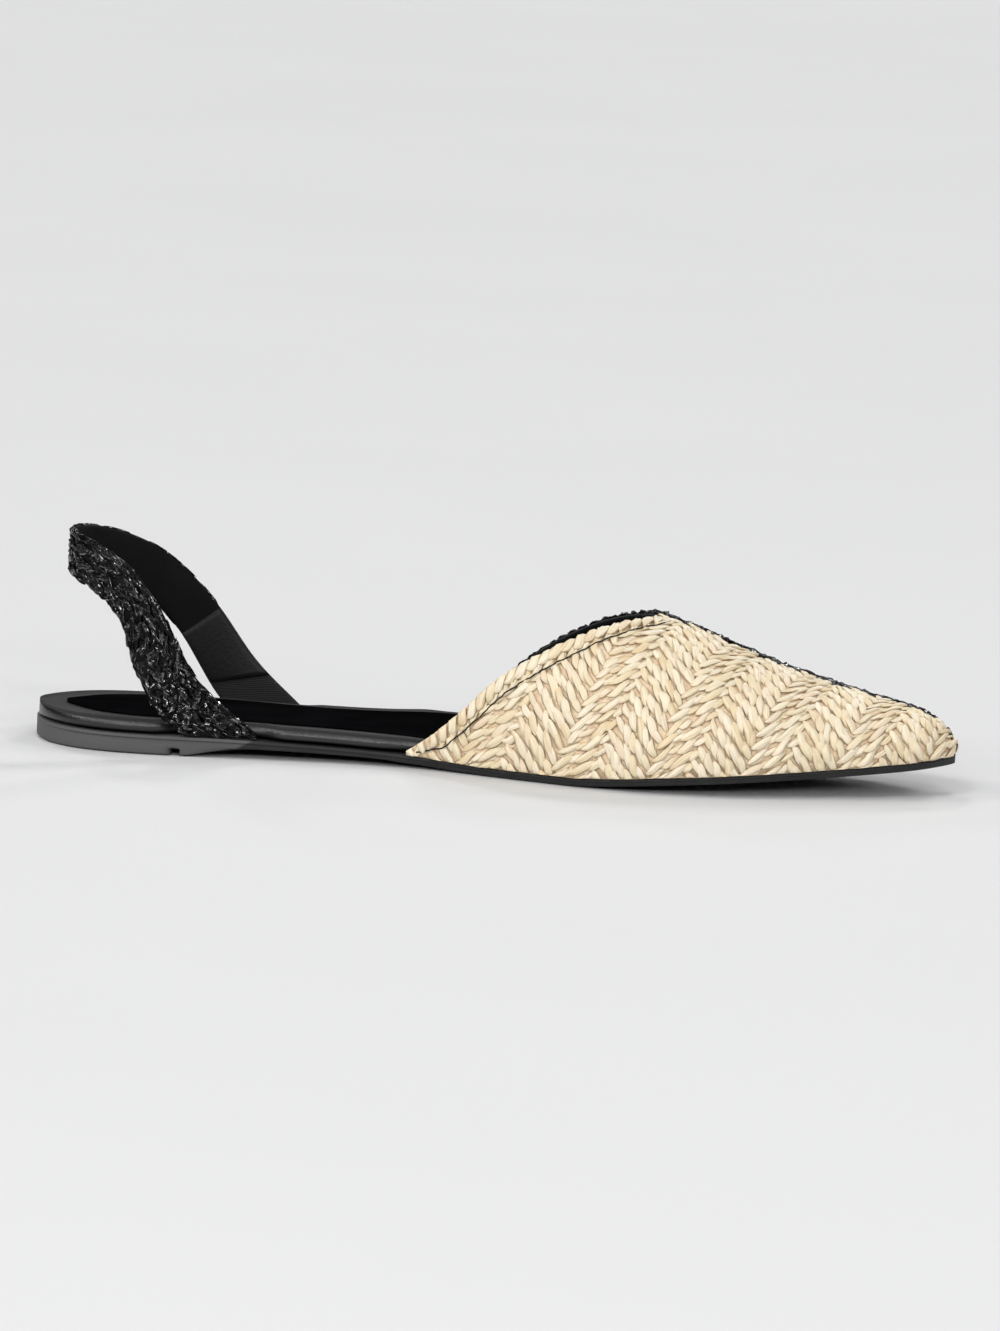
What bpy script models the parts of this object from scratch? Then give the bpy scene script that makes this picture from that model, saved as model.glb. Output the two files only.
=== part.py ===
"""Left slingback flat with a woven raffia vamp, a padded footbed and a thin unit sole.

The shoe stands on the floor at z = 0 with its toe along +X and its outer side along +Y.
Every size is in millimetres and is turned into metres by place(): along runs from the back
of the heel to the toe, across to the wearer's left, up from the floor.
"""

import functools
import math

import bmesh
import bpy
import numpy as np
from mathutils import Vector

MM = 0.001
MEDIAL = -1
LATERAL = 1

# The whole shoe
LENGTH = 256.0
ORIGIN_ALONG = 24.0
GAP = 0.3
HEEL_ROUND = 27.0
TOE_ROUND = 15.0

# Half widths of the sole about its own middle line, and where that line runs
OUTLINE_COLUMNS = ("along", "medial", "lateral", "middle")
OUTLINE = (
    (0.0, 27.0, 27.0, 0.0),
    (15.0, 27.6, 27.6, 0.0),
    (30.0, 28.0, 28.4, 0.0),
    (50.0, 26.6, 28.4, 0.0),
    (70.0, 24.2, 28.0, 0.0),
    (90.0, 22.4, 28.4, 0.0),
    (105.0, 23.2, 29.8, 0.0),
    (120.0, 26.6, 32.2, 0.0),
    (140.0, 33.2, 36.0, -0.3),
    (155.0, 37.4, 38.4, -0.8),
    (170.0, 39.6, 39.4, -1.4),
    (185.0, 38.8, 37.6, -2.2),
    (200.0, 35.0, 33.0, -3.0),
    (215.0, 29.4, 27.2, -3.8),
    (230.0, 23.0, 21.0, -4.5),
    (242.0, 17.6, 16.2, -5.0),
    (250.0, 13.8, 12.8, -5.3),
    (256.0, 10.8, 10.2, -5.5),
)

# Height of the walking face and of the top of the outsole, and how far its lower edge is drawn in
SOLE_COLUMNS = ("along", "tread", "top", "draw_in")
SOLE = (
    (0.0, 0.9, 5.9, 0.6),
    (7.0, 0.0, 5.7, 0.6),
    (45.5, 0.0, 5.5, 0.6),
    (52.0, 1.9, 5.5, 0.9),
    (62.0, 2.2, 5.3, 1.9),
    (78.0, 1.9, 4.8, 2.0),
    (92.0, 1.6, 4.3, 1.8),
    (105.0, 1.2, 3.8, 1.4),
    (118.0, 0.4, 2.9, 1.0),
    (127.0, 0.0, 2.5, 0.8),
    (150.0, 0.0, 2.5, 0.8),
    (160.0, 0.7, 3.1, 0.8),
    (175.0, 2.1, 4.5, 0.8),
    (190.0, 3.3, 5.7, 0.8),
    (210.0, 4.8, 7.2, 0.8),
    (232.0, 6.6, 9.0, 0.8),
    (256.0, 8.8, 11.2, 0.8),
)
SOLE_STATIONS = (0.0, 0.7, 2.2, 4.5, 7.0, 12.0, 18.0, 26.0, 36.0, 45.5, 52.0, 62.0, 70.0, 78.0, 85.0,
                 92.0, 98.0, 105.0, 112.0, 118.0, 127.0, 135.0, 143.0, 150.0, 155.0, 160.0, 168.0, 175.0,
                 182.0, 190.0, 200.0, 210.0, 221.0, 232.0, 240.0, 245.0, 249.0, 252.0, 254.2, 255.5, 256.0)
LIP_HEIGHT = 0.8
LIP_PROUD = 0.45
HEEL_SLOT_ALONG = 41.4
HEEL_SLOT_WIDTH = 2.5
HEEL_SLOT_DEPTH = 1.9

# Padded footbed with its rolled rim, and the thin insole inside the rim
FOOTBED_COLUMNS = ("along", "medial", "lateral")
FOOTBED = (
    (0.0, 4.2, 4.2),
    (72.0, 4.2, 4.2),
    (96.0, 4.2, 4.9),
    (110.0, 4.2, 6.0),
    (118.0, 4.2, 6.2),
    (128.0, 4.2, 5.4),
    (150.0, 4.2, 4.2),
    (256.0, 4.2, 4.2),
)
RIM_INSET = 0.35
RIM_PROUD = 0.9
RIM_BAND = 4.4
FOOTBED_TOE_INSET = 7.0
FOOTBED_HEEL_INSET = 0.5
INSOLE_THICKNESS = 0.7
INSOLE_SIDE_INSET = 8.8
INSOLE_TOE_INSET = 16.0
INSOLE_HEEL_INSET = 8.0
STRAP_NOTCH = 3.6
STRAP_NOTCH_AT = {MEDIAL: (40.0, 66.0), LATERAL: (40.0, 74.0)}

# Upper: ridge of the vamp, fullness of its sections, and the height of the throat's edge on each side
WALL = 1.8
UPPER_OVERHANG = 0.5
UPPER_BULGE = 1.2
RIDGE_COLUMNS = ("along", "height", "across", "fullness")
RIDGE = (
    (100.0, 66.0, -1.5, 1.95),
    (120.0, 61.0, -2.0, 1.95),
    (140.0, 54.5, -2.5, 1.95),
    (156.0, 49.0, -3.0, 1.95),
    (172.0, 44.2, -3.5, 1.95),
    (180.0, 42.0, -3.7, 1.95),
    (188.0, 39.2, -4.0, 1.98),
    (198.0, 35.4, -4.3, 2.02),
    (211.0, 31.0, -4.7, 2.08),
    (225.0, 27.2, -5.1, 2.16),
    (240.0, 23.8, -5.4, 2.26),
    (256.0, 21.0, -5.5, 2.30),
)
THROAT_PEAK = 172.0
WING_TIP = {MEDIAL: 105.0, LATERAL: 113.0}
WING_TIP_GIRTH = 1.0
THROAT_COLUMNS = ("along", "height")
THROAT = {
    MEDIAL: ((105.0, 5.0), (109.0, 7.9), (113.0, 11.1), (121.0, 18.8), (129.0, 27.0), (135.0, 31.4),
             (142.0, 35.7), (148.0, 38.7), (156.0, 42.0), (165.0, 43.9), (172.0, 44.2)),
    LATERAL: ((113.0, 5.0), (118.0, 9.6), (125.0, 16.8), (129.0, 20.6), (135.0, 25.8), (142.0, 31.0),
              (148.0, 34.8), (156.0, 39.0), (165.0, 42.4), (172.0, 44.2)),
}

# Weave: rows of raffia strips zigzag over leaning columns, and a plaited band edges the throat
STRIP_PITCH = 3.65
STRIP_RAISED = 0.7
COLUMN_STEP = 6.5
COLUMN_LEAN = 0.38
ZIG_RISE = 2.2
ZIG_FALL = 6.4
BAND_WIDTH = 4.4
BAND_RAISED = 0.8

# Sling strap: middle line of the band from the inner side of the sole, round the heel, to the outer side
STRAP_COLUMNS = ("along", "across", "up", "width")
STRAP = (
    (54.3, -24.7, 5.8, 12.8),
    (42.0, -26.8, 16.5, 14.0),
    (35.5, -27.0, 27.0, 13.8),
    (30.8, -26.0, 36.8, 13.0),
    (25.2, -23.4, 44.4, 12.6),
    (17.6, -18.6, 49.4, 12.6),
    (10.6, -10.8, 51.8, 12.6),
    (7.8, 0.0, 52.4, 12.6),
    (10.6, 10.8, 51.8, 12.6),
    (17.6, 18.8, 49.8, 12.6),
    (25.8, 23.8, 46.0, 12.6),
    (33.6, 26.8, 39.8, 12.8),
    (41.4, 28.2, 31.2, 13.2),
    (51.8, 28.6, 16.8, 14.6),
    (63.0, 27.2, 5.6, 16.4),
)
STRAP_THICKNESS = 2.2
STRAP_RAISED = 0.6
STRAP_STEP = 2.0
STRAP_SQUARE_AFTER = 34.0
TAB_THICKNESS = 2.4
TAB_LENGTH = 20.0
ELASTIC_THICKNESS = 1.4
ELASTIC_LENGTH = 13.0


def place(along, across, up):
    """A point of the shoe as scene coordinates in metres."""
    return Vector(((along - ORIGIN_ALONG) * MM, across * MM, up * MM))


def smooth(rows, column):
    """A curve without overshoot through one column of a table, against its first column."""
    xs = np.array([row[0] for row in rows])
    ys = np.array([row[column] for row in rows])
    rises = np.diff(ys) / np.diff(xs)
    slopes = np.zeros(len(xs))
    slopes[0] = rises[0]
    slopes[-1] = rises[-1]
    for i in range(1, len(xs) - 1):
        if rises[i - 1] * rises[i] > 0:
            slopes[i] = 2 * rises[i - 1] * rises[i] / (rises[i - 1] + rises[i])

    def value(x):
        x = min(max(x, xs[0]), xs[-1])
        i = min(int(np.searchsorted(xs, x, side="right")), len(xs) - 1) - 1
        span = xs[i + 1] - xs[i]
        t = (x - xs[i]) / span
        from_start = (1 + 2 * t) * (1 - t) ** 2 * ys[i] + t * (1 - t) ** 2 * span * slopes[i]
        from_end = t * t * (3 - 2 * t) * ys[i + 1] + t * t * (t - 1) * span * slopes[i + 1]
        return from_start + from_end

    return value


def ramp(value, start, end):
    """A soft step from 0 at start to 1 at end."""
    t = min(max((value - start) / (end - start), 0.0), 1.0)
    return t * t * (3 - 2 * t)


HALF = {MEDIAL: smooth(OUTLINE, 1), LATERAL: smooth(OUTLINE, 2)}
MIDDLE = smooth(OUTLINE, 3)
TREAD = smooth(SOLE, 1)
SOLE_TOP = smooth(SOLE, 2)
FOOTBED_HEIGHT = {MEDIAL: smooth(FOOTBED, 1), LATERAL: smooth(FOOTBED, 2)}
DRAW_IN = smooth(SOLE, 3)
RIDGE_HEIGHT = smooth(RIDGE, 1)
RIDGE_ACROSS = smooth(RIDGE, 2)
FULLNESS = smooth(RIDGE, 3)
THROAT_HEIGHT = {side: smooth(rows, 1) for side, rows in THROAT.items()}


def end_round(along):
    """Share of the full width that the rounded heel and toe leave at one place along the shoe."""
    heel = min(max((HEEL_ROUND - along) / HEEL_ROUND, 0.0), 1.0)
    toe = min(max((along - LENGTH + TOE_ROUND) / TOE_ROUND, 0.0), 1.0)
    return math.sqrt(1 - heel ** 2.2) * math.sqrt(1 - toe ** 2)


def half_width(along, side):
    """Half width of the sole on one side."""
    return HALF[side](along) * end_round(along)


def squeezed(along, heel_inset, toe_inset):
    """The place on the sole's outline that a shorter piece with the same outline takes its width from."""
    back = 60.0
    front = 110.0
    if along < back:
        return back - (back - along) * back / (back - heel_inset)
    if along > front:
        return front + (along - front) * (LENGTH - front) / (LENGTH - toe_inset - front)
    return along


def new_object(name, bm, colour, roughness):
    """Turn a mesh into a named object with its own material."""
    bmesh.ops.recalc_face_normals(bm, faces=bm.faces)
    if bm.calc_volume(signed=True) < 0:
        bmesh.ops.reverse_faces(bm, faces=bm.faces)
    mesh = bpy.data.meshes.new(name)
    bm.to_mesh(mesh)
    bm.free()
    material = bpy.data.materials.new(name)
    material.use_nodes = True
    shader = material.node_tree.nodes["Principled BSDF"]
    shader.inputs["Base Color"].default_value = (*colour, 1.0)
    shader.inputs["Roughness"].default_value = roughness
    mesh.materials.append(material)
    obj = bpy.data.objects.new(name, mesh)
    bpy.context.scene.collection.objects.link(obj)
    return obj


def loft(rings):
    """A closed skin over rings of points; a ring that has shrunk to a line or a point closes its end."""
    bm = bmesh.new()
    loops = [[bm.verts.new(place(*point)) for point in ring] for ring in rings]
    count = len(loops[0])
    for one, two in zip(loops, loops[1:]):
        for i in range(count):
            bm.faces.new((one[i], one[(i + 1) % count], two[(i + 1) % count], two[i]))
    for end in (loops[0], loops[-1]):
        area = max((a.co - end[0].co).length for a in end)
        width = max(abs(a.co.y - end[0].co.y) for a in end)
        if area > 0.0005 and width > 0.0002:
            bm.faces.new(end)
    bmesh.ops.remove_doubles(bm, verts=bm.verts, dist=1e-6)
    bmesh.ops.dissolve_degenerate(bm, edges=bm.edges, dist=1e-7)
    bmesh.ops.triangulate(bm, faces=[f for f in bm.faces if len(f.verts) > 4])
    return bm


def mirror_ring(along, middle, sides):
    """A ring from the profile points of both sides: down the medial side, then up the lateral side."""
    medial = [(along, middle - out, up) for out, up in sides[MEDIAL]]
    lateral = [(along, middle + out, up) for out, up in sides[LATERAL]]
    return medial + lateral[::-1]


def sole_section(along):
    """Outsole section: flat tread, drawn-in side, thin raised lip along the top edge."""
    tread = TREAD(along)
    top = SOLE_TOP(along)
    sides = {}
    for side in (MEDIAL, LATERAL):
        half = half_width(along, side)
        room = min(1.0, half / 8.0)
        wall = half - LIP_PROUD * room
        low = half - (LIP_PROUD + DRAW_IN(along)) * room
        sides[side] = (
            (low, tread),
            (wall - 0.15 * room, tread + 0.3 * (top - tread)),
            (wall, top - LIP_HEIGHT - 0.25),
            (half, top - LIP_HEIGHT),
            (half, top - 0.25),
            (half - 0.3 * room, top),
        )
    return mirror_ring(along, MIDDLE(along), sides)


def build_outsole():
    """Unit sole with its low heel, slotted across near the heel breast."""
    bm = loft([sole_section(along) for along in SOLE_STATIONS])
    outsole = new_object("outsole", bm, (0.035, 0.035, 0.037), 0.7)
    cutter = bmesh.new()
    bmesh.ops.create_cube(cutter, size=1.0)
    size = Vector((HEEL_SLOT_WIDTH * MM, 0.09, 2 * HEEL_SLOT_DEPTH * MM))
    bmesh.ops.scale(cutter, vec=size, verts=cutter.verts)
    bmesh.ops.translate(cutter, vec=place(HEEL_SLOT_ALONG, 0.0, 0.0), verts=cutter.verts)
    slot = new_object("heel_slot_cutter", cutter, (0.5, 0.5, 0.5), 0.5)
    slot.hide_render = True
    slot.display_type = "WIRE"
    cut = outsole.modifiers.new("heel_slot", "BOOLEAN")
    cut.operation = "DIFFERENCE"
    cut.solver = "EXACT"
    cut.object = slot
    return [outsole, slot]


def footbed_inset(along, side):
    """How far the footbed stays inside the sole's edge: at the rim, at the strap ends and in the vamp."""
    start, end = STRAP_NOTCH_AT[side]
    notch = ramp(along, start - 3.0, start) * (1 - ramp(along, end, end + 3.0))
    under_vamp = ramp(along, WING_TIP[side] - 6.0, WING_TIP[side] - 1.0)
    inside = WALL + GAP + 0.6 - UPPER_OVERHANG
    return RIM_INSET + (STRAP_NOTCH - RIM_INSET) * notch + (inside - RIM_INSET) * under_vamp


def footbed_side(along, side):
    """Sizes of one side of the footbed: outer half width, room left by the ends, rim and floor."""
    full = half_width(squeezed(along, FOOTBED_HEEL_INSET, FOOTBED_TOE_INSET), side)
    room = min(1.0, full / 11.0)
    half = full - footbed_inset(along, side) * room
    rim = half - RIM_BAND * room
    floor = SOLE_TOP(along) + GAP + FOOTBED_HEIGHT[side](along) - RIM_PROUD * room
    return half, room, rim, floor


def footbed_section(along):
    """Padded section: flat below, rolled rim at the side, flat floor for the insole."""
    base = SOLE_TOP(along) + GAP
    sides = {}
    for side in (MEDIAL, LATERAL):
        half, room, rim, floor = footbed_side(along, side)
        height = FOOTBED_HEIGHT[side](along)
        sides[side] = (
            (half - 1.3 * room, base),
            (half - 0.3 * room, base + 0.7),
            (half, base + 0.45 * height),
            (half - 0.45 * room, base + 0.76 * height),
            (half - 1.5 * room, base + 0.94 * height),
            (half - 2.9 * room, base + 0.98 * height),
            (rim, floor),
        )
    return mirror_ring(along, MIDDLE(along), sides)


def stations(start, end, step, close):
    """Places along from start to end, drawn together near both ends."""
    count = int((end - start) / step)
    plain = list(np.linspace(start + close[-1], end - close[-1], count))
    return [start + c for c in close[:-1]] + plain + [end - c for c in close[:-1]][::-1]


def build_footbed():
    """Leather-wrapped footbed."""
    ends = (0.0, 0.6, 1.9, 4.0, 7.5, 12.0)
    places = stations(FOOTBED_HEEL_INSET, LENGTH - FOOTBED_TOE_INSET, 6.4, ends)
    edges = []
    for side in (MEDIAL, LATERAL):
        start, end = STRAP_NOTCH_AT[side]
        edges += [start - 3.0, start, end, end + 3.0, WING_TIP[side] - 6.0, WING_TIP[side] - 1.0]
    kept = [p for p in places if all(abs(p - e) > 1.6 for e in edges)]
    ordered = sorted(set(kept + edges))
    bm = loft([footbed_section(along) for along in ordered])
    return [new_object("footbed", bm, (0.012, 0.012, 0.014), 0.45)]


def insole_section(along):
    """Thin flat sheet that lies on the footbed's floor, inside the rim and the strap ends."""
    source = squeezed(along, INSOLE_HEEL_INSET, INSOLE_TOE_INSET)
    sides = {}
    for side in (MEDIAL, LATERAL):
        full = half_width(source, side)
        half = full - INSOLE_SIDE_INSET * min(1.0, full / 14.0)
        level = footbed_side(along, side)[3] + GAP
        sides[side] = ((half, level), (half, level + INSOLE_THICKNESS))
    return mirror_ring(along, MIDDLE(along), sides)


def build_insole():
    """Leather sock inside the rolled rim."""
    ends = (0.0, 0.6, 1.9, 4.0, 7.5, 12.0)
    places = stations(INSOLE_HEEL_INSET, LENGTH - INSOLE_TOE_INSET, 9.0, ends)
    bm = loft([insole_section(along) for along in places])
    return [new_object("insole", bm, (0.014, 0.014, 0.016), 0.5)]


@functools.lru_cache(maxsize=None)
def upper_side(along, side):
    """Outer face across one side at one place: the points from the sole's edge to the ridge, and girths."""
    foot_y = MIDDLE(along) + side * (half_width(along, side) + UPPER_OVERHANG * end_round(along))
    foot_z = SOLE_TOP(along) + GAP
    ridge_z = foot_z + (RIDGE_HEIGHT(along) - foot_z) * end_round(along) ** 0.9
    ridge_y = RIDGE_ACROSS(along)
    power = 2 / FULLNESS(along)
    turn = np.linspace(0.0, math.pi / 2, 61)
    bulge = UPPER_BULGE * end_round(along) * np.sin(2 * turn) * np.cos(turn)
    ys = ridge_y + (foot_y - ridge_y) * np.cos(turn) ** power + side * bulge
    zs = foot_z + (ridge_z - foot_z) * np.sin(turn) ** power
    ys[-1] = ridge_y
    girths = np.concatenate(([0.0], np.cumsum(np.hypot(np.diff(ys), np.diff(zs)))))
    return ys, zs, girths


def girth_at(along, side):
    """Full girth of one side, from the sole's edge to the ridge."""
    return float(upper_side(round(along, 3), side)[2][-1])


def upper_point(along, girth, side):
    """Point of the upper's outer face."""
    ys, zs, girths = upper_side(round(along, 3), side)
    return np.array((along, np.interp(girth, girths, ys), np.interp(girth, girths, zs)))


def upper_normal(along, girth, side):
    """Outward direction of the upper's outer face."""
    if along > LENGTH - 0.01:
        return np.array((1.0, 0.0, 0.0))
    reach = girth_at(along, side)
    step = min(0.6, LENGTH - along)
    share = girth / reach
    ahead = upper_point(along + step, share * girth_at(along + step, side), side)
    behind = upper_point(along - 0.6, share * girth_at(along - 0.6, side), side)
    run = ahead - behind
    if share > 0.999:
        across = np.array((0.0, side * -1.0, 0.0))
    else:
        over = upper_point(along, min(girth + 0.5, reach), side)
        across = over - upper_point(along, max(girth - 0.5, 0.0), side)
    normal = np.cross(run, across) * -side
    return normal / np.linalg.norm(normal)


def throat_girth(along, side):
    """Girth at which the wall of one wing ends at the throat."""
    ys, zs, girths = upper_side(round(along, 3), side)
    if along >= THROAT_PEAK:
        return float(girths[-1])
    height = THROAT_HEIGHT[side](along)
    return max(float(np.interp(height, zs, girths)), WING_TIP_GIRTH)


def lean(along):
    """Lean of the woven columns, which dies out toward the toe."""
    return COLUMN_LEAN * min(1.0, (LENGTH - along) / 45.0)


def column_foot(top, side):
    """Where on the sole's edge the woven column starts that ends at one place on the throat or ridge."""
    return top - throat_girth(top, side) * lean(top)


def column_tops(side, start, end, count):
    """Places on the throat or ridge whose columns start evenly spaced on the sole's edge."""
    tries = np.linspace(start, end, 400)
    feet = np.array([column_foot(t, side) for t in tries])
    feet = np.maximum.accumulate(feet)
    return list(np.interp(np.linspace(feet[0], feet[-1], count + 1), feet, tries))


def upper_columns():
    """Tops of all columns for each side: its own along the wing, shared along the ridge."""
    wing_count = int(round((column_foot(THROAT_PEAK, MEDIAL) - WING_TIP[MEDIAL]) / COLUMN_STEP))
    ridge_count = int(round((LENGTH - column_foot(THROAT_PEAK, MEDIAL)) / COLUMN_STEP))
    ridge = column_tops(MEDIAL, THROAT_PEAK, LENGTH, ridge_count)
    extra = [LENGTH - 2.6, LENGTH - 1.0]
    ridge = sorted([t for t in ridge if t < LENGTH - 4.0] + extra + [LENGTH])
    columns = {}
    for side in (MEDIAL, LATERAL):
        columns[side] = column_tops(side, WING_TIP[side], THROAT_PEAK, wing_count)[:-1] + ridge
    return columns


def upper_grid(side, tops):
    """Rows of strips over one side: each column's places, with how far each stands proud."""
    half = STRIP_PITCH / 2
    zig = 0.0
    grid = []
    rows = range(-4, 78)
    for k, top in enumerate(tops):
        reach = throat_girth(top, side)
        band = BAND_WIDTH if top <= THROAT_PEAK else 0.0
        band = min(band, reach * 0.7)
        limit = reach - band
        column = []
        for m in rows:
            girth = m * half + zig
            inside = 0.5 < girth < limit - 0.5
            girth = girth if inside else (0.0 if girth <= 0.5 else limit)
            column.append((girth, STRIP_RAISED if inside and m % 2 else 0.0))
        column.append((limit + 0.25 * band, BAND_RAISED if band else 0.0))
        column.append((limit + 0.8 * band, BAND_RAISED if band else 0.0))
        column.append((reach, 0.3 if band else 0.0))
        foot_lean = lean(top)
        grid.append([(top - (reach - girth) * foot_lean, girth, proud) for girth, proud in column])
        zig += ZIG_RISE if k % 4 in (0, 1) else -ZIG_FALL
    return grid


def build_upper():
    """Hollow raffia wall, open at the throat and below, with its strips and throat band raised."""
    bm = bmesh.new()
    lining = bm.verts.layers.float_vector.new("lining")
    columns = upper_columns()
    for side in (MEDIAL, LATERAL):
        grid = []
        for column in upper_grid(side, columns[side]):
            line = []
            for along, girth, proud in column:
                point = upper_point(along, girth, side)
                normal = upper_normal(along, girth, side)
                vert = bm.verts.new(place(*(point + normal * proud)))
                inner = point - normal * WALL
                if girth < 0.01:
                    inner[2] = point[2]
                vert[lining] = place(*inner)
                line.append(vert)
            grid.append(line)
        for one, two in zip(grid, grid[1:]):
            for i in range(len(one) - 1):
                loop = (one[i], two[i], two[i + 1], one[i + 1])
                bm.faces.new(loop if side == MEDIAL else loop[::-1])
    bmesh.ops.remove_doubles(bm, verts=bm.verts, dist=2e-6)
    bmesh.ops.dissolve_degenerate(bm, edges=bm.edges, dist=1e-6)
    bmesh.ops.triangulate(bm, faces=bm.faces)
    outer_faces = list(bm.faces)
    partner = {}
    for vert in list(bm.verts):
        partner[vert] = bm.verts.new(vert[lining])
    rim = [edge for edge in bm.edges if edge.is_boundary]
    for face in outer_faces:
        bm.faces.new([partner[v] for v in face.verts][::-1])
    for edge in rim:
        a, b = edge.verts
        bm.faces.new((a, b, partner[b], partner[a]))
    return [new_object("upper", bm, (0.75, 0.64, 0.45), 0.7)]


def round_curve(rows, column):
    """A round curve through one column of a table, against its first column."""
    xs = [row[0] for row in rows]
    ys = [row[column] for row in rows]
    slopes = [(ys[1] - ys[0]) / (xs[1] - xs[0])]
    for i in range(1, len(xs) - 1):
        slopes.append((ys[i + 1] - ys[i - 1]) / (xs[i + 1] - xs[i - 1]))
    slopes.append((ys[-1] - ys[-2]) / (xs[-1] - xs[-2]))

    def value(x):
        i = min(max(int(np.searchsorted(xs, x, side="right")) - 1, 0), len(xs) - 2)
        span = xs[i + 1] - xs[i]
        t = (x - xs[i]) / span
        from_start = (1 + 2 * t) * (1 - t) ** 2 * ys[i] + t * (1 - t) ** 2 * span * slopes[i]
        from_end = t * t * (3 - 2 * t) * ys[i + 1] + t * t * (t - 1) * span * slopes[i + 1]
        return from_start + from_end

    return value


STRAP_CHORDS = [math.dist(one[:3], two[:3]) for one, two in zip(STRAP, STRAP[1:])]
STRAP_RUN = [(sum(STRAP_CHORDS[:i]), *row) for i, row in enumerate(STRAP)]
STRAP_LENGTH = STRAP_RUN[-1][0]
STRAP_POINT = [round_curve(STRAP_RUN, column) for column in (1, 2, 3)]
STRAP_WIDTH = round_curve(STRAP_RUN, 4)


def strap_ring(s, thickness, shares, raised):
    """Section of the strap at one length: across its outer face, then back across its inner face.

    The section lies level where the strap meets the sole and turns square to it higher up.
    """
    point = np.array([curve(s) for curve in STRAP_POINT])
    run = np.array([curve(s + 0.3) - curve(s - 0.3) for curve in STRAP_POINT])
    run /= np.linalg.norm(run)
    outward = np.array((-run[1], run[0], 0.0))
    outward /= np.linalg.norm(outward)
    wide = np.cross(run, outward)
    from_end = min(s, STRAP_LENGTH - s)
    if from_end < STRAP_SQUARE_AFTER:
        wide = wide - run * wide[2] / run[2] * (1 - ramp(from_end, 0.0, STRAP_SQUARE_AFTER))
    half = STRAP_WIDTH(s) / 2
    ring = []
    for share, proud in zip(shares, raised):
        ring.append(point + wide * half * share + outward * (thickness / 2 + proud))
    for share in (shares[-1], shares[0]):
        ring.append(point + wide * half * share - outward * thickness / 2)
    if from_end == 0:
        ring = [np.array((p[0], p[1], SOLE_TOP(p[0]) + GAP)) for p in ring]
    return [tuple(p) for p in ring]


def build_band():
    """Raffia band from the inner side of the sole, round the heel, to the leather tab."""
    end = STRAP_LENGTH - ELASTIC_LENGTH - TAB_LENGTH - GAP
    count = int(end / STRAP_STEP)
    shares = (-1.0, -0.5, 0.0, 0.5, 1.0)
    rings = []
    for k in range(count + 1):
        inside = 0 < k < count
        raised = [STRAP_RAISED if inside and (k + abs(i - 2)) % 2 else 0.0 for i in range(5)]
        raised[0] = 0.0
        raised[-1] = 0.0
        rings.append(strap_ring(end * k / count, STRAP_THICKNESS, shares, raised))
    return new_object("sling_strap", loft(rings), (0.012, 0.012, 0.013), 0.35)


def build_flat_band(name, start, end, thickness, colour, roughness):
    """Plain part of the strap between two lengths."""
    count = max(4, int((end - start) / 3.0))
    rings = []
    for s in np.linspace(start, end, count + 1):
        rings.append(strap_ring(float(s), thickness, (-1.0, 0.0, 1.0), (0.0, 0.0, 0.0)))
    return new_object(name, loft(rings), colour, roughness)


def build_strap():
    """Raffia band, leather tab and elastic, one after the other along the strap's middle line."""
    tab_start = STRAP_LENGTH - ELASTIC_LENGTH - TAB_LENGTH
    tab_end = STRAP_LENGTH - ELASTIC_LENGTH - GAP
    tab = build_flat_band("strap_tab", tab_start, tab_end, TAB_THICKNESS, (0.014, 0.014, 0.016), 0.5)
    elastic = build_flat_band("elastic_gore", tab_end + GAP, STRAP_LENGTH, ELASTIC_THICKNESS,
                              (0.02, 0.02, 0.022), 0.7)
    return [build_band(), tab, elastic]


def build():
    """Clear the scene and put the shoe together under one empty."""
    for obj in list(bpy.data.objects):
        bpy.data.objects.remove(obj)
    root = bpy.data.objects.new("slingback_flat", None)
    bpy.context.scene.collection.objects.link(root)
    pieces = build_outsole() + build_footbed() + build_insole() + build_upper() + build_strap()
    for piece in pieces:
        piece.parent = root


build()
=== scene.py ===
"""Left slingback flat with a two-tone raffia vamp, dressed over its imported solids.

The toe points along +X, the natural raffia side faces -Y, and the shoe stands on the floor at z = 0.
Sizes are in millimetres along, across and up, as in the part's source, and become metres in place().
"""

import math

import bmesh
import bpy
import numpy as np
from mathutils import Matrix, Vector


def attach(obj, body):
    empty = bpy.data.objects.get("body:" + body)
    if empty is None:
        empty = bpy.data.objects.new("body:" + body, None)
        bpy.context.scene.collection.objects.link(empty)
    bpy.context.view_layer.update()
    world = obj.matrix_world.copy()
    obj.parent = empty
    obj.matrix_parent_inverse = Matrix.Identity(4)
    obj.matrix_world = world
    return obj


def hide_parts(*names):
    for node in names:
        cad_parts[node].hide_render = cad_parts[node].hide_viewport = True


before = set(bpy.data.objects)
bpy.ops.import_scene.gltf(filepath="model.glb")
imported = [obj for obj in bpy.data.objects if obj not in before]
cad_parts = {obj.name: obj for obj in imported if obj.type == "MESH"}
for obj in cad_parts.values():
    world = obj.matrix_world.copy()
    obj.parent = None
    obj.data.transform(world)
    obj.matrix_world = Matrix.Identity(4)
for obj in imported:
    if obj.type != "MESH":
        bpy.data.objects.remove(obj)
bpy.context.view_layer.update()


# Outsole. One thin moulding of matte black rubber with a low heel, a fine lip along its top edge and a
# slot across the heel breast. The heel's side is painted a paler grey up to a slanting line at the
# waist, as painted light for the light that falls on it from the left. It is cemented under the footbed
# and the turned-in edge of the upper.


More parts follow.
